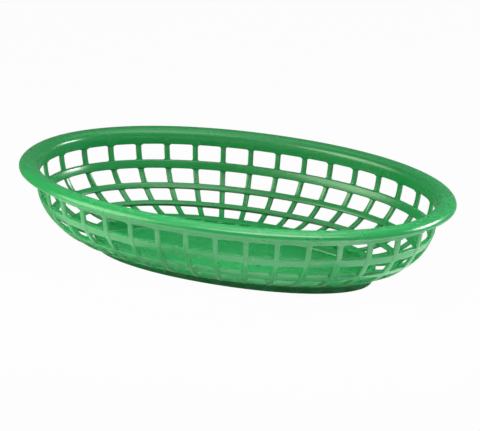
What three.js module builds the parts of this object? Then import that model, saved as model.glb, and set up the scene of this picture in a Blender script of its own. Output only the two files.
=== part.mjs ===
// Oval plastic food basket: a lattice bowl with a rolled rim and a sunk solid base.
// Millimetres, +Z up, +X along the length; the foot stands on Z = 0 and the plan is centred on the origin.
import * as THREE from 'three';

// Overall size
const LENGTH = 238; // over the lip, 9 3/8 in
const WIDTH = 152.4; // over the lip, 6 in
const HEIGHT = 48.2; // foot to crest of the rim, about 1 7/8 in
const PLAN_POWER = 2.08; // power of the oval: 2 is an ellipse, more is squarer
const SIDE_STEEPNESS = 0.906; // how far the long sides lean in, as a share of the ends

// Wall line, where the hoops meet the staves: a quarter oval from under the rim to level
const WALL_INSET = 9.58; // from the lip to the top of the wall line
const WALL_BELOW_CREST = 7.81; // from the crest down to the top of the wall line
const WALL_RUN = 32.87; // how far the wall line comes in on its way down
const BASE_LEVEL = 7.52; // height where the wall line has become level

// Lattice
const STAVES = 36;
const HOOP_WIDTHS = { hoop_upper: 4.6, hoop_middle: 3.4, hoop_lower: 3.3 }; // from the top down
const HOOP_FIRST = 0.236; // middle of the upper hoop, as a share of the wall line
const HOOP_STEP = 0.2435; // from one hoop to the next, as a share of the wall line
const HOOP_THICKNESS = 1.8;
const HOOP_EDGE = 0.4; // chamfer on the inner edges of a hoop
const STAVE_BACK = 3.0; // width against the hoops
const STAVE_FRONT = 2.6; // width of the outer face
const STAVE_THICKNESS = 1.1;
const STAVE_STEPS = 14; // straight lengths in one stave
const LATTICE_TOP = 0.95; // solid wall above the first windows, along the wall line
const LATTICE_END = 2.15; // solid wall below the last windows, along the wall line

// Rim and collar
const LIP_RUN = 4.4; // lip to crest, across
const LIP_DROP = 4.1; // crest down to the edge of the lip
const LIP_POWER = 3; // squareness of the outer shoulder: 2 is round
const RIM_THICKNESS = 1.6;
const RIM_DEPTH = 4.6; // crest down to the joint with the collar
const NECK_POWER = 2.5; // squareness of the inner shoulder
const NECK_THICKNESS = 2.6; // at the joint of rim and collar
const COLLAR_OUTSIDE = 1.5; // from the wall line to the outer face of the collar
const COLLAR_INSIDE = 1.25; // and to its inner face

// Base
const FOOT_SETBACK_ENDS = 0.8; // lattice edge to foot wall at the two ends
const FOOT_SETBACK_SIDES = 4.3; // and at the two long sides
const FOOT_THICKNESS = 1.8;
const FOOT_DRAFT = 0.6; // how far the foot wall leans in towards the bottom
const RAIL_THICKNESS = 1.1;
const FLOOR_THICKNESS = 1.5;
const FLOOR_RAISE = 0.5; // underside of the floor above the table

// Fits
const SEAM = 0.3; // clear gap at every joint between two members
const RING_STEPS = STAVES * 2; // a corner at every stave and every window centre

// A superellipse in plan, run through by length so that staves and windows are evenly spaced
class Oval extends THREE.Curve {
  constructor(halfLength, halfWidth) {
    super();
    this.halfLength = halfLength;
    this.halfWidth = halfWidth;
    this.arcLengthDivisions = 1440;
  }

  getPoint(t, target = new THREE.Vector3()) {
    const angle = t * Math.PI * 2;
    const reach = (value) => Math.sign(value) * Math.abs(value) ** (2 / PLAN_POWER);
    return target.set(this.halfLength * reach(Math.cos(angle)), this.halfWidth * reach(Math.sin(angle)), 0);
  }

  shrunk(ends, sides = ends) {
    return new Oval(this.halfLength - ends, this.halfWidth - sides);
  }
}

// The oval at a distance in from the lip
function ovalAt(inset) {
  return new Oval(LENGTH / 2, WIDTH / 2).shrunk(inset, inset * SIDE_STEEPNESS);
}

// The wall line in section: x is the distance in from the lip, y is the height
const wallTop = HEIGHT - WALL_BELOW_CREST;
const wallLine = new THREE.EllipseCurve(
  WALL_INSET + WALL_RUN, wallTop, WALL_RUN, wallTop - BASE_LEVEL, Math.PI, Math.PI * 1.5,
);
const wallLength = wallLine.getLength();
const latticeEnd = wallLength - LATTICE_END;

// A section point beside the wall line: along it from the top, then off it towards the inside
function besideWall(along, inward) {
  const share = along / wallLength;
  const tangent = wallLine.getTangentAt(share);
  return wallLine.getPointAt(share).add(new THREE.Vector2(-tangent.y, tangent.x).multiplyScalar(inward));
}

// Closed triangle mesh with its faces turned outwards
function solid(name, positions, index, material) {
  const geometry = new THREE.BufferGeometry();
  const numbers = positions.flatMap((point) => point.toArray());
  geometry.setAttribute('position', new THREE.Float32BufferAttribute(numbers, 3));
  let volume = 0;
  for (let i = 0; i < index.length; i += 3) {
    const [a, b, c] = [positions[index[i]], positions[index[i + 1]], positions[index[i + 2]]];
    volume += a.dot(b.clone().cross(c));
  }
  geometry.setIndex(volume < 0 ? index.slice().reverse() : index);
  geometry.computeVertexNormals();
  const mesh = new THREE.Mesh(geometry, material);
  mesh.name = name;
  return mesh;
}

// Two triangles for every cell of a grid whose rows are joined in a loop
function loopGrid(rows, columns, closed) {
  const index = [];
  for (let r = 0; r < (closed ? rows : rows - 1); r += 1) {
    const next = (r + 1) % rows;
    for (let c = 0; c < columns; c += 1) {
      const side = (c + 1) % columns;
      index.push(r * columns + c, r * columns + side, next * columns + side);
      index.push(r * columns + c, next * columns + side, next * columns + c);
    }
  }
  return index;
}

// A ring whose section is a closed loop of ovals, each at its own height
function ring(name, loop, material) {
  const positions = loop.flatMap(({ oval, height }) => {
    const points = oval.getSpacedPoints(RING_STEPS).slice(0, RING_STEPS);
    return points.map((point) => point.setZ(height));
  });
  return solid(name, positions, loopGrid(loop.length, RING_STEPS, true), material);
}

// The same ring from section points, x in from the lip and y up
function ringFromSection(name, section, material) {
  return ring(name, section.map((point) => ({ oval: ovalAt(point.x), height: point.y })), material);
}

// Where the rim stands on the collar
const neckOuter = WALL_INSET - COLLAR_OUTSIDE;
const neckInner = neckOuter + NECK_THICKNESS;

// A quarter oval in section, from the middle of the rim's top out to one side; more power makes it squarer
function shoulder(run, foot, rise, power, steps) {
  const points = [];
  for (let step = 0; step <= steps; step += 1) {
    const angle = (step / steps) * (Math.PI / 2);
    const across = run * Math.sin(angle) ** (2 / power);
    const up = rise * Math.cos(angle) ** (2 / power);
    points.push(new THREE.Vector2(LIP_RUN + across, foot + up));
  }
  return points;
}

// Rim: a shoulder from the lip to the crest and another down to the neck, the same again underneath
function makeRim(material) {
  const neck = HEIGHT - RIM_DEPTH;
  const lip = HEIGHT - LIP_DROP;
  const section = [
    ...shoulder(-LIP_RUN, lip, LIP_DROP, LIP_POWER, 5).reverse(),
    ...shoulder(neckInner - LIP_RUN, neck, RIM_DEPTH, NECK_POWER, 5).slice(1),
    ...shoulder(neckOuter - LIP_RUN, neck, RIM_DEPTH - RIM_THICKNESS, NECK_POWER, 3).reverse(),
    ...shoulder(RIM_THICKNESS - LIP_RUN, lip, LIP_DROP - RIM_THICKNESS, LIP_POWER, 3).slice(1),
  ];
  return ringFromSection('rim', section, material);
}

// Collar: the whole wall thickness, from the neck down to the first windows
function makeCollar(material) {
  const top = HEIGHT - RIM_DEPTH - SEAM;
  const outer = besideWall(LATTICE_TOP, -COLLAR_OUTSIDE);
  const inner = besideWall(LATTICE_TOP, COLLAR_INSIDE);
  const section = [
    new THREE.Vector2(neckOuter, top),
    new THREE.Vector2(neckInner, top),
    inner,
    outer,
  ];
  return ringFromSection('collar', section, material);
}

// Hoop: a flat band on the inside of the wall line, with its two inner edges chamfered
function makeHoop(name, number, width, material) {
  const middle = wallLength * (HOOP_FIRST + number * HOOP_STEP);
  const from = middle - width / 2;
  const to = middle + width / 2;
  const back = SEAM / 2;
  const front = back + HOOP_THICKNESS;
  const section = [
    besideWall(from, back),
    besideWall(from, front - HOOP_EDGE),
    besideWall(from + HOOP_EDGE, front),
    besideWall(to - HOOP_EDGE, front),
    besideWall(to, front - HOOP_EDGE),
    besideWall(to, back),
  ];
  return ringFromSection(name, section, material);
}

// Foot wall, seen from outside at its top and at its bottom
const latticeEdge = besideWall(latticeEnd, SEAM / 2);
const footTop = ovalAt(latticeEdge.x).shrunk(FOOT_SETBACK_ENDS, FOOT_SETBACK_SIDES);
const footBottom = footTop.shrunk(FOOT_DRAFT);
const footTopHeight = BASE_LEVEL - SEAM / 2;

function makeFootWall(material) {
  return ring('foot_wall', [
    { oval: footTop, height: footTopHeight },
    { oval: footTop.shrunk(FOOT_THICKNESS), height: footTopHeight },
    { oval: footBottom.shrunk(FOOT_THICKNESS), height: 0 },
    { oval: footBottom, height: 0 },
  ], material);
}

// Base rail: closes the last windows and reaches over the top of the foot wall
function makeBaseRail(material) {
  const upperEdge = besideWall(latticeEnd, SEAM / 2 + RAIL_THICKNESS);
  const underside = BASE_LEVEL + SEAM / 2;
  return ring('base_rail', [
    { oval: ovalAt(latticeEdge.x), height: latticeEdge.y },
    { oval: ovalAt(upperEdge.x), height: upperEdge.y },
    { oval: footTop.shrunk(FOOT_THICKNESS), height: underside + RAIL_THICKNESS },
    { oval: footTop.shrunk(FOOT_THICKNESS), height: underside },
    { oval: footTop, height: underside },
  ], material);
}

// Floor: a flat oval plate inside the foot wall, just clear of the table
function makeFloor(material) {
  const edge = footBottom.shrunk(FOOT_THICKNESS + SEAM);
  const corners = edge.getSpacedPoints(RING_STEPS).slice(0, RING_STEPS);
  const outline = new THREE.Shape(corners);
  const plate = new THREE.ExtrudeGeometry(outline, { depth: FLOOR_THICKNESS, bevelEnabled: false });
  plate.translate(0, 0, FLOOR_RAISE);
  const mesh = new THREE.Mesh(plate, material);
  mesh.name = 'floor';
  return mesh;
}

// Stave: a tapered bar laid along the outside of the wall line, from the collar round to the foot wall
function makeStave(number, material) {
  const share = number / STAVES;
  const start = LATTICE_TOP + SEAM;
  const stations = [];
  for (let step = 0; step < STAVE_STEPS; step += 1) {
    const along = THREE.MathUtils.lerp(start, latticeEnd, step / (STAVE_STEPS - 1));
    const point = besideWall(along, 0);
    stations.push({ oval: ovalAt(point.x), height: point.y });
  }
  stations.push({ oval: footTop.shrunk(-SEAM), height: BASE_LEVEL });
  const spine = stations.map(({ oval, height }) => oval.getPointAt(share).setZ(height));
  const positions = stations.flatMap(({ oval }, i) => {
    const side = oval.getTangentAt(share).setZ(0).normalize();
    const before = spine[Math.max(i - 1, 0)];
    const after = spine[Math.min(i + 1, spine.length - 1)];
    const out = side.clone().cross(new THREE.Vector3().subVectors(before, after)).normalize();
    const back = SEAM / 2;
    const front = back + STAVE_THICKNESS;
    const corners = [[-STAVE_BACK, back], [STAVE_BACK, back], [STAVE_FRONT, front], [-STAVE_FRONT, front]];
    return corners.map(([width, depth]) => {
      const middle = spine[i].clone().addScaledVector(out, depth);
      return middle.addScaledVector(side, width / 2);
    });
  });
  const last = positions.length - 4;
  const caps = [0, 2, 1, 0, 3, 2, last, last + 1, last + 2, last, last + 2, last + 3];
  const name = `stave_${String(number + 1).padStart(2, '0')}`;
  return solid(name, positions, [...loopGrid(stations.length, 4, false), ...caps], material);
}

const plastic = new THREE.MeshStandardMaterial({ color: 0x2f9a56, roughness: 0.28, metalness: 0 });

const basket = new THREE.Group();
basket.name = 'oval_food_basket';
basket.add(makeRim(plastic), makeCollar(plastic));
Object.entries(HOOP_WIDTHS).forEach(([name, width], number) => {
  basket.add(makeHoop(name, number, width, plastic));
});
for (let number = 0; number < STAVES; number += 1) {
  basket.add(makeStave(number, plastic));
}
basket.add(makeBaseRail(plastic), makeFootWall(plastic), makeFloor(plastic));

export default basket;
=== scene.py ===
"""Looks of an oval plastic food basket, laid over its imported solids.

The basket is one green moulding: a rolled rim on a plain collar, a bowl of upright staves and
level hoops, and a sunk base with a low foot. Every ring is turned as a round shape and then
pressed into the oval plan. Every stave is a straight bar that is bent down the wall line.
"""

import logging
import math
from dataclasses import dataclass, field
from enum import Enum
from functools import lru_cache

import bmesh
import bpy
import numpy as np
from mathutils import Matrix, Vector


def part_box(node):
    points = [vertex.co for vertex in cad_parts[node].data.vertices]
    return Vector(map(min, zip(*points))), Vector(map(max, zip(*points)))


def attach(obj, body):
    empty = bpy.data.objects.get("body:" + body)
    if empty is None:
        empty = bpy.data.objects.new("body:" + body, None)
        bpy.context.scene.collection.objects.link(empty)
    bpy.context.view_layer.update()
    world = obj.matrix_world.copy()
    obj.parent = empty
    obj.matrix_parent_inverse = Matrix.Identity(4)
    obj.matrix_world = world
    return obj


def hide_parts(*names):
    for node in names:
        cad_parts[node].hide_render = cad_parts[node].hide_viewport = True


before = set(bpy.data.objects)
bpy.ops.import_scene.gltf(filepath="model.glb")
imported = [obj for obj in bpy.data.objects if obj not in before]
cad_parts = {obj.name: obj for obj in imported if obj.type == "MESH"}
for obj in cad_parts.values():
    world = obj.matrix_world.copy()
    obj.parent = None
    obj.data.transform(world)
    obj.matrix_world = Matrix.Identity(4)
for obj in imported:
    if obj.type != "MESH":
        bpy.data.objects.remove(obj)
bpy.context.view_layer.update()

LOG = logging.getLogger("basket")
BODY = "root"
MM = 0.001
FULL_TURN = 2.0 * math.pi
QUARTER_TURN = math.pi / 2.0
ON_AXIS = 1e-6
LENGTH_DIGITS = 6
MERGE_DISTANCE = 1e-7
SHARP_CORNER = 35.0
ROUND_PROFILE = 0.5
ROUND_SEGMENTS = 3
WHITE = (1.0, 1.0, 1.0)

Point = tuple[float, float]
Section = list[Point]
Colour = tuple[float, float, float]


class HoopPlace(Enum):
    """The level bands of the bowl, by the name of the solid that each one stands for."""

    UPPER = "hoop_upper"
    MIDDLE = "hoop_middle"
    LOWER = "hoop_lower"


class LampRole(Enum):
    """What each lamp of the studio is for.

    The edge lamp lights the upper edges of the near hoops, and the strip draws the highlight
    along the near rim. The table lamps stand for light that a table throws back up.
    """

    KEY = "key"
    EDGE = "edge"
    STRIP = "strip"
    WINDOW = "window"
    FILL = "fill"
    TOP = "top"
    BACK = "back"
    TABLE_LEFT = "table_left"
    TABLE_FRONT = "table_front"
    TABLE_RIGHT = "table_right"


def clamp(value: float, low: float, high: float) -> float:
    """Keep a value between two limits."""
    return min(max(value, low), high)


def polar(vert: bmesh.types.BMVert) -> tuple[float, float]:
    """Radius of a vertex about the upright axis, and its share of the way round from +X."""
    radius = math.hypot(vert.co.x, vert.co.y)
    return radius, math.atan2(vert.co.y, vert.co.x) / FULL_TURN


@dataclass(frozen=True)
class OvalPlan:
    """The oval that a turned ring is pressed into.

    A ring's radius on the lathe is its half length in the basket. Its half width follows from
    that, in straight steps from the middle of the floor out to the lip.

    Attributes:
        power: Squareness of every oval, from 2 for an ellipse.
        samples: Number of straight lengths that an oval is traced with.
    """

    lip_half_length: float
    lip_half_width: float
    rail_half_length: float
    rail_half_width: float
    foot_half_length: float
    foot_half_width: float
    floor_half_length: float
    floor_half_width: float
    power: float = 2.08
    samples: int = 2880

    @classmethod
    def from_frame(cls) -> "OvalPlan":
        """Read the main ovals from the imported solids.

        Returns:
            The plan whose lip, rail, foot and floor are those of the solids.
        """
        halves: list[float] = []
        for node in ("rim", "base_rail", "foot_wall", "floor"):
            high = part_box(node)[1]
            halves += [high.x, high.y]
        return cls(*halves)

    def half_width(self, half_length: float) -> float:
        """Find the half width of one oval of the family.

        Args:
            half_length: Half length of the oval.

        Returns:
            Its half width.
        """
        known = (
            (0.0, 0.0),
            (self.floor_half_length, self.floor_half_width),
            (self.foot_half_length, self.foot_half_width),
            (self.rail_half_length, self.rail_half_width),
            (self.lip_half_length, self.lip_half_width),
        )
        lengths, widths = zip(*known)
        return float(np.interp(half_length, lengths, widths))

    @lru_cache(maxsize=None)
    def outline(self, half_length: float) -> tuple[np.ndarray, np.ndarray, np.ndarray]:
        """Trace one oval of the family.

        Args:
            half_length: Half length of the oval.

        Returns:
            The distance run from the +X end, and the two coordinates there.
        """
        turn = np.linspace(0.0, FULL_TURN, self.samples + 1)
        across = np.cos(turn)
        along = np.sin(turn)
        bulge = 2.0 / self.power
        x = half_length * np.sign(across) * np.abs(across) ** bulge
        y = self.half_width(half_length) * np.sign(along) * np.abs(along) ** bulge
        run = np.concatenate(([0.0], np.cumsum(np.hypot(np.diff(x), np.diff(y)))))
        return run, x, y

    def girth(self, half_length: float) -> float:
        """Distance once round the oval of a given half length."""
        return float(self.outline(round(half_length, LENGTH_DIGITS))[0][-1])

    def place(self, half_length: float, share: float, sideways: float = 0.0) -> Point:
        """Find a point on an oval by its share of the way round.

        Args:
            half_length: Half length of the oval.
            share: Share of the way round from the +X end.
            sideways: Further distance along the oval.

        Returns:
            The point's x and y.
        """
        run, x, y = self.outline(round(half_length, LENGTH_DIGITS))
        at = (share * run[-1] + sideways) % run[-1]
        return float(np.interp(at, run, x)), float(np.interp(at, run, y))

    def press(self, bm: bmesh.types.BMesh) -> None:
        """Press a turned shape into the oval plan.

        Args:
            bm: A shape turned about Z, changed in place.
        """
        for vert in bm.verts:
            radius, share = polar(vert)
            if radius > ON_AXIS:
                vert.co.x, vert.co.y = self.place(radius, share)


@dataclass(frozen=True)
class WallLine:
    """The middle of the bowl's wall in section: a quarter circle, then level to the foot.

    Attributes:
        lip_half_length: Half length of the basket at its lip.
        inset: Distance of the wall's top in from the lip.
        top: Height of the wall's top.
        radius: Radius of the quarter circle.
    """

    lip_half_length: float
    inset: float = 9.83 * MM
    top: float = 40.39 * MM
    radius: float = 32.62 * MM

    @property
    def length(self) -> float:
        """Length of the quarter circle."""
        return self.radius * QUARTER_TURN

    def point(self, along: float, out: float) -> Point:
        """Find a section point by its place on the wall.

        Args:
            along: Distance down the wall from its top.
            out: Distance off the middle of the wall, towards the outside.

        Returns:
            The half length of the oval there, and the height.
        """
        angle = clamp(along / self.radius, 0.0, QUARTER_TURN)
        level = max(along - self.length, 0.0)
        rise = max(-along, 0.0)
        reach = self.radius + out
        inset = self.inset + self.radius - reach * math.cos(angle) + level
        return self.lip_half_length - inset, self.top - reach * math.sin(angle) + rise


@dataclass(frozen=True)
class PlasticFinish:
    """Glossy coloured polypropylene, a little cloudy, with a fine moulded skin.

    Attributes:
        colour: Colour of the light parts of the cloud.
        deep_colour: Colour of its dark parts.
        gloss: Roughness where the surface is cleanest.
        dull: Roughness where it is most rubbed.
        rub_low: Noise value at which the surface is cleanest.
        rub_high: Noise value at which it is most rubbed.
        glow: Share of the light that scatters inside the plastic.
        glow_depth: How far that light spreads.
        glow_reach: Spread of its red, green and blue, as shares of that depth.
    """

    name: str = "green_polypropylene"
    colour: Colour = (0.0165, 0.365, 0.0940)
    deep_colour: Colour = (0.0143, 0.317, 0.0815)
    cloud_scale: float = 22.0
    cloud_detail: float = 3.0
    gloss: float = 0.20
    dull: float = 0.32
    rub_scale: float = 55.0
    rub_detail: float = 5.0
    rub_low: float = 0.3
    rub_high: float = 0.7
    refraction: float = 1.7
    skin_scale: float = 620.0
    skin_detail: float = 2.0
    skin_depth: float = 0.05 * MM
    skin_strength: float = 0.35
    glow: float = 0.4
    glow_depth: float = 1.6 * MM
    glow_reach: tuple[float, float, float] = (0.4, 1.0, 0.5)

    @staticmethod
    def noise(
        tree: bpy.types.NodeTree,
        coords: bpy.types.NodeSocket,
        scale: float,
        detail: float,
    ) -> bpy.types.NodeSocket:
        """Lay a noise over the basket.

        Args:
            tree: Node tree of the material.
            coords: Coordinates on the basket.
            scale: Scale of the noise.
            detail: Levels of finer noise in it.

        Returns:
            The socket of its value.
        """
        texture = tree.nodes.new("ShaderNodeTexNoise")
        texture.inputs["Scale"].default_value = scale
        texture.inputs["Detail"].default_value = detail
        tree.links.new(coords, texture.inputs["Vector"])
        return texture.outputs["Fac"]

    def material(self) -> bpy.types.Material:
        """Build the node material.

        Returns:
            The new material.
        """
        made = bpy.data.materials.new(self.name)
        made.use_nodes = True
        tree = made.node_tree
        shader = tree.nodes["Principled BSDF"]
        coords = tree.nodes.new("ShaderNodeTexCoord").outputs["Object"]

        cloud = self.noise(tree, coords, self.cloud_scale, self.cloud_detail)
        tint = tree.nodes.new("ShaderNodeMix")
        tint.data_type = "RGBA"
        tint.inputs["A"].default_value = (*self.deep_colour, 1.0)
        tint.inputs["B"].default_value = (*self.colour, 1.0)
        tree.links.new(cloud, tint.inputs["Factor"])
        tree.links.new(tint.outputs["Result"], shader.inputs["Base Color"])

        rub = self.noise(tree, coords, self.rub_scale, self.rub_detail)
        polish = tree.nodes.new("ShaderNodeMapRange")
        polish.inputs["From Min"].default_value = self.rub_low
        polish.inputs["From Max"].default_value = self.rub_high
        polish.inputs["To Min"].default_value = self.gloss
        polish.inputs["To Max"].default_value = self.dull
        tree.links.new(rub, polish.inputs["Value"])
        tree.links.new(polish.outputs["Result"], shader.inputs["Roughness"])

        skin = self.noise(tree, coords, self.skin_scale, self.skin_detail)
        bump = tree.nodes.new("ShaderNodeBump")
        bump.inputs["Strength"].default_value = self.skin_strength
        bump.inputs["Distance"].default_value = self.skin_depth
        tree.links.new(skin, bump.inputs["Height"])
        tree.links.new(bump.outputs["Normal"], shader.inputs["Normal"])

        shader.inputs["IOR"].default_value = self.refraction
        shader.inputs["Subsurface Weight"].default_value = self.glow
        shader.inputs["Subsurface Radius"].default_value = self.glow_reach
        shader.inputs["Subsurface Scale"].default_value = self.glow_depth
        return made


class Lathe:
    """Turns sections into closed rings and rounds edges off."""

    @staticmethod
    def arc(
        centre: Point,
        axes: Point,
        start: float,
        stop: float,
        steps: int,
        power: float = 2.0,
    ) -> Section:
        """Lay points along part of an upright oval.

        Args:
            centre: Half length and height of the oval's centre.
            axes: Half axes across and up.
            start: First angle in degrees, from straight outwards.
            stop: Last angle in degrees.
            steps: Number of straight lengths.
            power: Squareness, from 2 for an ellipse.

        Returns:
            The points from start to stop.
        """
        points: Section = []
        bulge = 2.0 / power
        for step in range(steps + 1):
            angle = math.radians(start + (stop - start) * step / steps)
            across = math.copysign(abs(math.cos(angle)) ** bulge, math.cos(angle))
            up = math.copysign(abs(math.sin(angle)) ** bulge, math.sin(angle))
            points.append((centre[0] + axes[0] * across, centre[1] + axes[1] * up))
        return points

    @staticmethod
    def turn(section: Section, steps: int, closed: bool = True) -> bmesh.types.BMesh:
        """Spin a section about the upright axis.

        Args:
            section: Half lengths and heights, in order round the section.
            steps: Number of steps in the full turn.
            closed: Whether the last point joins the first; if not, both ends are on the axis.

        Returns:
            The turned shape, with its faces outwards.
        """
        bm = bmesh.new()
        verts = [bm.verts.new((radius, 0.0, height)) for radius, height in section]
        pairs = list(zip(verts, verts[1:]))
        if closed:
            pairs.append((verts[-1], verts[0]))
        edges = [bm.edges.new(pair) for pair in pairs]
        bmesh.ops.spin(
            bm,
            geom=verts + edges,
            cent=(0.0, 0.0, 0.0),
            axis=(0.0, 0.0, 1.0),
            dvec=(0.0, 0.0, 0.0),
            angle=FULL_TURN,
            steps=steps,
            use_merge=True,
        )
        bmesh.ops.remove_doubles(bm, verts=bm.verts[:], dist=MERGE_DISTANCE)
        bmesh.ops.recalc_face_normals(bm, faces=bm.faces[:])
        return bm

    @staticmethod
    def sharp_edges(bm: bmesh.types.BMesh) -> list[bmesh.types.BMEdge]:
        """Edges of a shape whose faces meet at a sharp corner."""
        return [edge for edge in bm.edges if edge.calc_face_angle(0.0) > math.radians(SHARP_CORNER)]

    @staticmethod
    def round_edges(bm: bmesh.types.BMesh, edges: list[bmesh.types.BMEdge], radius: float) -> None:
        """Round some edges off.

        Args:
            bm: The shape, changed in place.
            edges: Its edges to round.
            radius: Distance that the rounding takes from each side.
        """
        bmesh.ops.bevel(
            bm,
            geom=edges,
            offset=radius,
            offset_type="OFFSET",
            segments=ROUND_SEGMENTS,
            profile=ROUND_PROFILE,
            affect="EDGES",
            clamp_overlap=True,
            material=-1,
        )


@dataclass
class Moulding:
    """What every sub-assembly of the basket shares.

    Attributes:
        plan: Oval plan of the basket.
        wall: Middle of the bowl's wall.
        plastic: Material of every piece.
        staves: Number of staves round the bowl.
        steps_per_stave: Steps of a turned ring from one stave to the next.
        crowding: Spacing of those steps beside a stave, as a share of even spacing.
        stave_width: Width of a stave at the middle of its depth.
        web_radius: Radius of the small webs in the corners of the windows.
    """

    plan: OvalPlan
    wall: WallLine
    plastic: bpy.types.Material
    staves: int = 36
    steps_per_stave: int = 16
    crowding: float = 0.4
    stave_width: float = 3.0 * MM
    web_radius: float = 0.6 * MM

    @property
    def steps(self) -> int:
        """Number of steps in a full turn of a ring."""
        return self.staves * self.steps_per_stave

    def crowd(self, bm: bmesh.types.BMesh) -> None:
        """Bring the steps of a turned ring closer together beside each stave.

        Args:
            bm: The turned ring, changed in place before it is pressed.
        """
        for vert in bm.verts:
            radius, share = polar(vert)
            pitches = share * self.staves
            nearest = round(pitches)
            off = pitches - nearest
            halfway = 2.0 * off
            spacing = self.crowding + (1.0 - self.crowding) * halfway * halfway
            angle = (nearest + off * spacing) / self.staves * FULL_TURN
            vert.co.x = radius * math.cos(angle)
            vert.co.y = radius * math.sin(angle)

    def web(self, vert: bmesh.types.BMVert) -> float:
        """How far the rounded corner beside a stave reaches at a vertex of a turned ring.

        Args:
            vert: A vertex of the ring, before it is pressed.

        Returns:
            The reach, from none between the staves to the full radius against one.
        """
        radius, share = polar(vert)
        pitches = share * self.staves
        apart = abs(pitches - round(pitches)) * self.plan.girth(radius) / self.staves
        gap = apart - self.stave_width / 2.0
        short = clamp(self.web_radius - gap, 0.0, self.web_radius)
        return self.web_radius - math.sqrt(self.web_radius**2 - short**2)

    @staticmethod
    def shift(vert: bmesh.types.BMVert, outwards: float, upwards: float) -> None:
        """Move a vertex of a turned ring in its own section.

        Args:
            vert: The vertex, before the ring is pressed.
            outwards: Distance away from the upright axis.
            upwards: Distance up.
        """
        radius = polar(vert)[0]
        scale = (radius + outwards) / radius
        vert.co.x *= scale
        vert.co.y *= scale
        vert.co.z += upwards

    def dress(self, bm: bmesh.types.BMesh, name: str, *nodes: str) -> bpy.types.Object:
        """Make a finished shape into a piece of the basket.

        Args:
            bm: The finished shape, freed here.
            name: Name of the piece.
            *nodes: Solids that it stands for.

        Returns:
            The piece, in its plastic and riding on the basket.
        """
        for face in bm.faces:
            face.smooth = True
        mesh = bpy.data.meshes.new(name)
        bm.to_mesh(mesh)
        bm.free()
        mesh.materials.append(self.plastic)
        piece = bpy.data.objects.new(name, mesh)
        bpy.context.scene.collection.objects.link(piece)
        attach(piece, BODY)
        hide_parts(*nodes)
        return piece


@dataclass
class Mouth(Moulding):
    """The rolled rim and the plain collar under it.

    Attributes:
        crest: Height of the top of the rim.
        lip_run: Distance of the crest in from the lip.
        lip_drop: Distance of the lip's lower edge below the crest.
        dome_run: Half axis of the rim's dome towards the lip.
        dome_rise: Half axis of the dome upwards.
        thickness: Thickness of the rim.
        hollow_power: Squareness of the hollow under the rim.
        neck_drop: Distance below the crest at which the rim runs into the collar.
        neck_power: Squareness of the bend from rim to collar.
        collar_inside: Distance of the collar's inner face off the wall line.
        collar_outside: Distance of its outer face off the wall line.
        collar_foot_inside: Distance of its inner lower edge down the wall.
        collar_foot_outside: Distance of its outer lower edge down the wall.
        edge_radius: Rounding of all sharp edges.
    """

    crest: float = 48.2 * MM
    lip_run: float = 4.4 * MM
    lip_drop: float = 4.1 * MM
    dome_run: float = 4.5 * MM
    dome_rise: float = 3.8 * MM
    dome_steps: int = 12
    thickness: float = 1.6 * MM
    hollow_power: float = 3.0
    hollow_steps: int = 8
    neck_drop: float = 4.6 * MM
    neck_power: float = 2.4
    neck_steps: int = 14
    collar_inside: float = 1.0 * MM
    collar_outside: float = 1.75 * MM
    collar_foot_inside: float = 0.6 * MM
    collar_foot_outside: float = 1.2 * MM
    edge_radius: float = 0.45 * MM

    def section(self) -> Section:
        """Section of rim and collar.

        Returns:
            Half lengths and heights, from the edge of the lip over the crest and back underneath.
        """
        lip = self.plan.lip_half_length
        low = self.crest - self.lip_drop
        crest_at = lip - self.lip_run
        dome_centre = (crest_at, self.crest - self.dome_rise)
        dome = (self.dome_run, self.dome_rise)
        dome_start = math.degrees(math.acos(self.lip_run / self.dome_run))
        neck_centre = (crest_at, self.crest - self.neck_drop)
        inner = lip - self.wall.inset - self.collar_inside
        outer = lip - self.wall.inset + self.collar_outside
        inside = (crest_at - inner, self.neck_drop)
        outside = (crest_at - outer, self.neck_drop - self.thickness)
        hollow = (self.lip_run - self.thickness, self.lip_drop - self.thickness)
        points = [(lip, low)]
        points += Lathe.arc(dome_centre, dome, dome_start, 90.0, self.dome_steps)
        points += Lathe.arc(neck_centre, inside, 90.0, 180.0, self.neck_steps, self.neck_power)[1:]
        points.append(self.wall.point(self.collar_foot_inside, -self.collar_inside))
        points.append(self.wall.point(self.collar_foot_outside, self.collar_outside))
        points += Lathe.arc(neck_centre, outside, 180.0, 90.0, self.hollow_steps, self.neck_power)
        points += Lathe.arc((crest_at, low), hollow, 90.0, 0.0, self.hollow_steps, self.hollow_power)[1:]
        return points

    def build(self) -> bpy.types.Object:
        """Turn the rim and collar, round their edges and press them oval.

        Returns:
            The finished piece.
        """
        bm = Lathe.turn(self.section(), self.steps)
        Lathe.round_edges(bm, Lathe.sharp_edges(bm), self.edge_radius)
        self.crowd(bm)
        foot = self.wall.point(self.collar_foot_inside, 0.0)[1]
        for vert in bm.verts:
            if vert.co.z < foot + self.edge_radius:
                self.shift(vert, 0.0, -self.web(vert))
        self.plan.press(bm)
        return self.dress(bm, "mouth", "rim", "collar")


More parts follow.
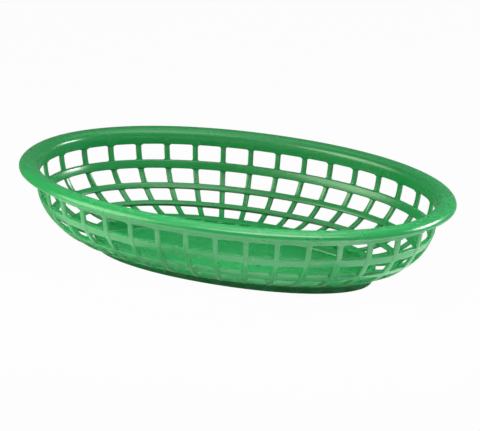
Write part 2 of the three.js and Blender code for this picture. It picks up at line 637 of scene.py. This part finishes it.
@dataclass
class Lattice(Moulding):
    """The bowl's wall: level hoops inside and upright staves outside.

    Attributes:
        hoop_widths: Width of each hoop, down the wall.
        hoop_tops: Distance of each hoop's upper edge down the wall.
        hoop_inside: Distance of the hoops' inner faces off the wall line.
        hoop_outside: Distance of their outer faces off the wall line.
        hoop_turn: Share of the way from square to the wall to level that their edges turn.
        hoop_edge: Rounding of their edges.
        stave_inside: Distance of the staves' inner faces off the wall line.
        stave_outside: Distance of their outer faces off the wall line.
        stave_face: Width of their inner and outer faces.
        stave_edge: Rounding of their edges.
        stave_cuts: Number of cuts across a stave for its bend.
        long_edge: Length from which an edge of a straight bar runs along it.
        tuck: How far a stave's ends reach into the collar and the base.
    """

    hoop_widths: dict[HoopPlace, float] = field(
        default_factory=lambda: {
            HoopPlace.UPPER: 4.7 * MM,
            HoopPlace.MIDDLE: 3.6 * MM,
            HoopPlace.LOWER: 3.5 * MM,
        }
    )
    hoop_tops: dict[HoopPlace, float] = field(
        default_factory=lambda: {
            HoopPlace.UPPER: 9.95 * MM,
            HoopPlace.MIDDLE: 23.3 * MM,
            HoopPlace.LOWER: 35.85 * MM,
        }
    )
    hoop_inside: float = 1.6 * MM
    hoop_outside: float = 1.05 * MM
    hoop_turn: float = 0.35
    hoop_edge: float = 0.45 * MM
    stave_inside: float = 0.5 * MM
    stave_outside: float = 1.2 * MM
    stave_face: float = 2.6 * MM
    stave_edge: float = 0.45 * MM
    stave_cuts: int = 47
    long_edge: float = 10.0 * MM
    tuck: float = 0.5 * MM

    def build_hoop(self, place: HoopPlace) -> bpy.types.Object:
        """Turn one hoop, swell it beside the staves and press it oval.

        Args:
            place: Which hoop.

        Returns:
            The finished piece.
        """
        half = self.hoop_widths[place] / 2.0
        middle = self.hoop_tops[place] + half
        angle = middle / self.wall.radius
        lift = math.tan(self.hoop_turn * angle)
        corners = [
            self.wall.point(middle + side * half - lift * (out + self.hoop_inside), out)
            for side, out in (
                (-1.0, self.hoop_outside),
                (-1.0, -self.hoop_inside),
                (1.0, -self.hoop_inside),
                (1.0, self.hoop_outside),
            )
        ]
        bm = Lathe.turn(corners, self.steps)
        Lathe.round_edges(bm, Lathe.sharp_edges(bm), self.hoop_edge)
        self.crowd(bm)
        centre = self.wall.point(middle, 0.0)
        down = Vector((-math.sin(angle), -math.cos(angle)))
        outwards = Vector((math.cos(angle), -math.sin(angle)))
        for vert in bm.verts:
            offset = Vector((polar(vert)[0] - centre[0], vert.co.z - centre[1]))
            out = offset.dot(outwards)
            along = offset.dot(down) + lift * (out + self.hoop_inside)
            held = clamp(1.0 + out / self.hoop_inside, 0.0, 1.0)
            grow = self.web(vert) * held * clamp(along / half, -1.0, 1.0)
            self.shift(vert, grow * down.x, grow * down.y)
        self.plan.press(bm)
        return self.dress(bm, place.value, place.value)

    def straight_stave(self) -> bmesh.types.BMesh:
        """Shape a stave as a straight bar, widest at the middle of its depth.

        Returns:
            The bar, with its width along X, its length down the wall along Y and its depth along Z.
        """
        top = -self.tuck
        level = self.plan.rail_half_length - self.plan.foot_half_length
        end = self.wall.length + level + self.tuck
        depth = self.stave_inside + self.stave_outside
        middle = (self.stave_outside - self.stave_inside) / 2.0
        near_middle = depth / 4.0
        bm = bmesh.new()
        bmesh.ops.create_cube(bm, size=1.0)
        bmesh.ops.scale(bm, vec=(self.stave_width, end - top, depth), verts=bm.verts[:])
        bmesh.ops.translate(bm, vec=(0.0, (end + top) / 2.0, middle), verts=bm.verts[:])
        deep = [edge for edge in bm.edges if abs(edge.verts[0].co.z - edge.verts[1].co.z) > depth / 2.0]
        bmesh.ops.subdivide_edges(bm, edges=deep, cuts=1, use_grid_fill=True)
        faces = [vert for vert in bm.verts if abs(vert.co.z - middle) > near_middle]
        bmesh.ops.scale(bm, vec=(self.stave_face / self.stave_width, 1.0, 1.0), verts=faces)
        corners = [edge for edge in self.long_edges(bm) if abs(edge.verts[0].co.z - middle) > near_middle]
        Lathe.round_edges(bm, corners, self.stave_edge)
        bmesh.ops.subdivide_edges(bm, edges=self.long_edges(bm), cuts=self.stave_cuts, use_grid_fill=True)
        return bm

    def long_edges(self, bm: bmesh.types.BMesh) -> list[bmesh.types.BMEdge]:
        """Edges that run the length of a straight bar."""
        return [edge for edge in bm.edges if abs(edge.verts[0].co.y - edge.verts[1].co.y) > self.long_edge]

    def build_stave(self, number: int) -> bpy.types.Object:
        """Bend a straight stave down the wall at its place.

        Args:
            number: Place of the stave, counted round from the +X end.

        Returns:
            The finished piece.
        """
        bm = self.straight_stave()
        share = number / self.staves
        for vert in bm.verts:
            half_length, height = self.wall.point(vert.co.y, vert.co.z)
            x, y = self.plan.place(half_length, share, -vert.co.x)
            vert.co = (x, y, height)
        bmesh.ops.recalc_face_normals(bm, faces=bm.faces[:])
        name = f"stave_{number + 1:02d}"
        return self.dress(bm, name, name)


@dataclass
class BasePan(Moulding):
    """The sunk base: the rail round its top, the foot wall and the floor.

    Attributes:
        rail_top: Height of the rail's upper face at the foot wall.
        rail_rise: How much higher that face is at its outer edge.
        rail_under: Height of the rail's lower edge.
        foot_top: Height at which the rail meets the outside of the foot.
        foot_draft: How far the foot wall leans in on its way down.
        foot_thickness: Thickness of the foot wall.
        floor_top: Height of the floor.
        floor_under: Height of the floor's underside.
        floor_ring: Share of the way out at which the floor has a ring of points.
        corner: Radius of the corner between floor and foot wall.
        edge_radius: Rounding of all sharp edges.
    """

    rail_top: float = 8.75 * MM
    rail_rise: float = 0.1 * MM
    rail_under: float = 7.1 * MM
    foot_top: float = 6.3 * MM
    foot_draft: float = 0.6 * MM
    foot_thickness: float = 1.8 * MM
    floor_top: float = 2.0 * MM
    floor_under: float = 0.5 * MM
    floor_ring: float = 0.5
    corner: float = 1.2 * MM
    corner_steps: int = 4
    edge_radius: float = 0.35 * MM

    def section(self) -> Section:
        """Section of the base.

        Returns:
            Half lengths and heights, from the middle of the floor up over the rail and back underneath.
        """
        foot = self.plan.foot_half_length
        rail = self.plan.rail_half_length
        inner_top = foot - self.foot_thickness
        inner_low = inner_top - self.foot_draft
        ring = inner_low * self.floor_ring
        bend = (inner_low - self.corner, self.floor_top + self.corner)
        points = [(0.0, self.floor_top), (ring, self.floor_top)]
        points += Lathe.arc(bend, (self.corner, self.corner), 270.0, 360.0, self.corner_steps)
        points += [
            (inner_top, self.rail_top),
            (rail, self.rail_top + self.rail_rise),
            (rail, self.rail_under),
            (foot, self.foot_top),
            (foot - self.foot_draft, 0.0),
            (inner_low, 0.0),
            (inner_low, self.floor_under),
            (ring, self.floor_under),
            (0.0, self.floor_under),
        ]
        return points

    def build(self) -> bpy.types.Object:
        """Turn the base, round its edges and press it oval.

        Returns:
            The finished piece.
        """
        bm = Lathe.turn(self.section(), self.steps, closed=False)
        Lathe.round_edges(bm, Lathe.sharp_edges(bm), self.edge_radius)
        self.crowd(bm)
        self.plan.press(bm)
        return self.dress(bm, "base_pan", "base_rail", "foot_wall", "floor")


@dataclass(frozen=True)
class Lamp:
    """One soft lamp, turned to the basket or lying on the table and facing up.

    Its place is given about a point above the table. That point is in the middle of the
    basket, or at some reach from there towards the lamp's azimuth.

    Attributes:
        role: What the lamp is for.
        azimuth: Direction in degrees, from the front of the basket towards its +X end.
        elevation: Angle in degrees above level; past 90 the lamp leans over to the other side.
        distance: Distance from the point that it is turned to.
        wide: Width of the lamp.
        tall: Height of the lamp.
        power: Power in watts.
        colour: Colour of its light.
        reach: Distance of the point that it is turned to from the middle of the basket.
        spread: Angle in degrees that its light spreads over.
        lying: Whether it lies on the table and faces up.
        mirrored: Whether it shows in reflections.
        lying_height: Height above the table of a lamp that lies there.
    """

    role: LampRole
    azimuth: float
    elevation: float
    distance: float
    wide: float
    tall: float
    power: float
    colour: Colour = WHITE
    reach: float = 0.0
    spread: float = 180.0
    lying: bool = False
    mirrored: bool = True
    lying_height: float = 2.0 * MM

    def build(self, middle: Vector) -> None:
        """Hang the lamp.

        Args:
            middle: Middle of the basket.
        """
        turn = math.radians(self.azimuth)
        tilt = math.radians(self.elevation)
        level = Vector((math.sin(turn), -math.cos(turn), 0.0))
        back = level * math.cos(tilt) + Vector((0.0, 0.0, math.sin(tilt)))
        light = bpy.data.lights.new(self.role.value, "AREA")
        light.shape = "ELLIPSE"
        light.size = self.wide
        light.size_y = self.tall
        light.energy = self.power
        light.color = self.colour
        light.spread = math.radians(self.spread)
        lamp = bpy.data.objects.new(self.role.value, light)
        bpy.context.scene.collection.objects.link(lamp)
        lamp.visible_camera = False
        lamp.visible_glossy = self.mirrored
        lamp.location = middle + level * self.reach + back * self.distance
        if self.lying:
            lamp.location.z = self.lying_height
            back = Vector((0.0, 0.0, -1.0))
        lamp.rotation_mode = "QUATERNION"
        lamp.rotation_quaternion = back.to_track_quat("Z", "Y")


@dataclass
class Studio:
    """Pale floor, soft light and the camera.

    Attributes:
        lamps: The lamps, in the order in which they are hung.
        world_light: Strength of the even light all round.
        world_mirrored: Brightness of the surroundings in reflections.
        floor_colour: Colour of the floor where light falls on it.
        floor_seen: Share of plain white in the floor that the camera sees.
        floor_mirrored: Share of plain white in the floor's reflections.
        floor_side: Length and width of the floor.
        azimuth: Direction of the camera in degrees, from the front of the basket towards its +X end.
        elevation: Angle of the camera in degrees above level.
        roll: Lean of the camera in degrees.
        distance: Distance of the camera.
        across: How far the middle of the lip lies to the right of the camera's axis.
        rise: How far it lies above that axis.
        lip_level: Height of the middle of the lip.
        focal_pixels: Focal length in pixels of the photograph.
        image_width: Width of the photograph in pixels.
        sensor_width: Width of the camera's sensor in millimetres.
        clip_start: Nearest distance that the camera sees.
        clip_end: Farthest distance that it sees.
    """

    lamps: list[Lamp] = field(
        default_factory=lambda: [
            Lamp(
                LampRole.KEY,
                azimuth=0.0, elevation=60.0, distance=0.9,
                wide=0.6, tall=0.16, power=0.7,
            ),
            Lamp(
                LampRole.EDGE,
                azimuth=14.0, elevation=110.0, distance=0.24, reach=0.07,
                wide=0.26, tall=0.1, power=0.056, spread=46.0, mirrored=False,
            ),
            Lamp(
                LampRole.STRIP,
                azimuth=16.0, elevation=64.0, distance=0.22, reach=0.075,
                wide=0.34, tall=0.06, power=0.042, spread=60.0,
            ),
            Lamp(
                LampRole.WINDOW,
                azimuth=-51.0, elevation=25.0, distance=0.5,
                wide=0.36, tall=0.4, power=1.6, colour=(0.8, 1.0, 0.75),
            ),
            Lamp(
                LampRole.FILL,
                azimuth=113.0, elevation=28.0, distance=0.6,
                wide=0.3, tall=0.14, power=2.5,
            ),
            Lamp(
                LampRole.TOP,
                azimuth=20.0, elevation=88.0, distance=0.42,
                wide=0.25, tall=0.25, power=0.24,
            ),
            Lamp(
                LampRole.BACK,
                azimuth=200.0, elevation=62.0, distance=0.9,
                wide=0.7, tall=0.4, power=0.45,
            ),
            Lamp(
                LampRole.TABLE_LEFT,
                azimuth=-40.0, elevation=0.0, distance=0.21,
                wide=0.26, tall=0.26, power=0.172, lying=True,
            ),
            Lamp(
                LampRole.TABLE_FRONT,
                azimuth=20.0, elevation=0.0, distance=0.205,
                wide=0.26, tall=0.26, power=0.165, lying=True,
            ),
            Lamp(
                LampRole.TABLE_RIGHT,
                azimuth=80.0, elevation=0.0, distance=0.22,
                wide=0.26, tall=0.26, power=0.172, lying=True,
            ),
        ]
    )
    world_light: float = 0.02
    world_mirrored: float = 0.2
    floor_colour: Colour = (0.45, 0.45, 0.45)
    floor_seen: float = 0.975
    floor_mirrored: float = 0.05
    floor_side: float = 6.0
    azimuth: float = 20.345
    elevation: float = 20.439
    roll: float = 1.636
    distance: float = 1289.29 * MM
    across: float = -2.90 * MM
    rise: float = 18.587 * MM
    lip_level: float = 45.87 * MM
    focal_pixels: float = 2453.72
    image_width: float = 480.0
    sensor_width: float = 36.0
    clip_start: float = 0.05
    clip_end: float = 50.0

    def build_floor(self) -> None:
        """Lay the pale floor, nearly white to the camera with a soft shadow left in it."""
        bm = bmesh.new()
        bmesh.ops.create_grid(bm, x_segments=2, y_segments=2, size=self.floor_side / 2.0)
        mesh = bpy.data.meshes.new("studio_floor")
        bm.to_mesh(mesh)
        bm.free()
        floor = bpy.data.objects.new("studio_floor", mesh)
        bpy.context.scene.collection.objects.link(floor)
        mesh.materials.append(self.floor_material())

    def floor_material(self) -> bpy.types.Material:
        """Build the floor's material.

        Returns:
            A matt pale material that looks nearly white to the camera.
        """
        made = bpy.data.materials.new("studio_floor")
        made.use_nodes = True
        nodes = made.node_tree.nodes
        links = made.node_tree.links
        nodes.clear()
        output = nodes.new("ShaderNodeOutputMaterial")
        matt = nodes.new("ShaderNodeBsdfDiffuse")
        matt.inputs["Color"].default_value = (*self.floor_colour, 1.0)
        white = nodes.new("ShaderNodeEmission")
        white.inputs["Strength"].default_value = 1.0
        seen = self.seen(made.node_tree, self.floor_seen, self.floor_mirrored)
        mix = nodes.new("ShaderNodeMixShader")
        links.new(seen, mix.inputs["Fac"])
        links.new(matt.outputs["BSDF"], mix.inputs[1])
        links.new(white.outputs["Emission"], mix.inputs[2])
        links.new(mix.outputs["Shader"], output.inputs["Surface"])
        return made

    @staticmethod
    def seen(tree: bpy.types.NodeTree, direct: float, mirrored: float) -> bpy.types.NodeSocket:
        """Tell rays that see the background from rays that carry its light.

        Args:
            tree: Node tree to build in.
            direct: Value for a camera ray.
            mirrored: Value for a glossy or transmission ray.

        Returns:
            A socket that holds those values, and zero for other rays.
        """
        path = tree.nodes.new("ShaderNodeLightPath")
        camera = tree.nodes.new("ShaderNodeMath")
        camera.operation = "MULTIPLY"
        camera.inputs[1].default_value = direct
        tree.links.new(path.outputs["Is Camera Ray"], camera.inputs[0])
        bounced = tree.nodes.new("ShaderNodeMath")
        bounced.operation = "MAXIMUM"
        tree.links.new(path.outputs["Is Glossy Ray"], bounced.inputs[0])
        tree.links.new(path.outputs["Is Transmission Ray"], bounced.inputs[1])
        value = tree.nodes.new("ShaderNodeMath")
        value.operation = "MULTIPLY_ADD"
        value.inputs[1].default_value = mirrored
        tree.links.new(bounced.outputs["Value"], value.inputs[0])
        tree.links.new(camera.outputs["Value"], value.inputs[2])
        return value.outputs["Value"]

    def build_world(self) -> None:
        """Surround the studio with faint even light, white to the camera and dimmer in reflections."""
        world = bpy.data.worlds.new("studio")
        bpy.context.scene.world = world
        world.use_nodes = True
        nodes = world.node_tree.nodes
        links = world.node_tree.links
        shell = nodes["Background"]
        shell.inputs["Color"].default_value = (*WHITE, 1.0)
        level = nodes.new("ShaderNodeMapRange")
        level.inputs["To Min"].default_value = self.world_light
        links.new(self.seen(world.node_tree, 1.0, self.world_mirrored), level.inputs["Value"])
        links.new(level.outputs["Result"], shell.inputs["Strength"])

    def build_camera(self) -> None:
        """Set the camera where the photograph was taken from."""
        turn = math.radians(self.azimuth)
        tilt = math.radians(self.elevation)
        back = Vector((math.sin(turn) * math.cos(tilt), -math.cos(turn) * math.cos(tilt), math.sin(tilt)))
        right = Vector((math.cos(turn), math.sin(turn), 0.0))
        up = back.cross(right)
        lean = math.radians(self.roll)
        across = math.cos(lean) * right + math.sin(lean) * up
        above = math.cos(lean) * up - math.sin(lean) * right
        place = back * self.distance - across * self.across - above * self.rise
        place.z += self.lip_level
        data = bpy.data.cameras.new("camera")
        data.sensor_width = self.sensor_width
        data.lens = self.focal_pixels * self.sensor_width / self.image_width
        data.clip_start = self.clip_start
        data.clip_end = self.clip_end
        camera = bpy.data.objects.new("camera", data)
        bpy.context.scene.collection.objects.link(camera)
        turned = Matrix((across, above, back)).transposed().to_4x4()
        camera.matrix_world = Matrix.Translation(place) @ turned
        bpy.context.scene.camera = camera

    def build(self) -> None:
        """Set up the floor, the light and the camera."""
        self.build_floor()
        self.build_world()
        middle = Vector((0.0, 0.0, self.lip_level / 2.0))
        for lamp in self.lamps:
            lamp.build(middle)
        self.build_camera()
        bpy.context.scene.view_settings.view_transform = "Standard"


def main() -> None:
    """Build the studio and the basket, piece by piece, and report each piece."""
    logging.basicConfig(level=logging.INFO, format="%(name)s %(message)s")
    Studio().build()
    plan = OvalPlan.from_frame()
    wall = WallLine(plan.lip_half_length)
    plastic = PlasticFinish().material()
    lattice = Lattice(plan, wall, plastic)
    pieces = [Mouth(plan, wall, plastic).build()]
    pieces += [lattice.build_hoop(place) for place in HoopPlace]
    pieces += [lattice.build_stave(number) for number in range(lattice.staves)]
    pieces.append(BasePan(plan, wall, plastic).build())
    for piece in pieces:
        LOG.info("%s: %d faces", piece.name, len(piece.data.polygons))


if __name__ == "__main__":
    main()
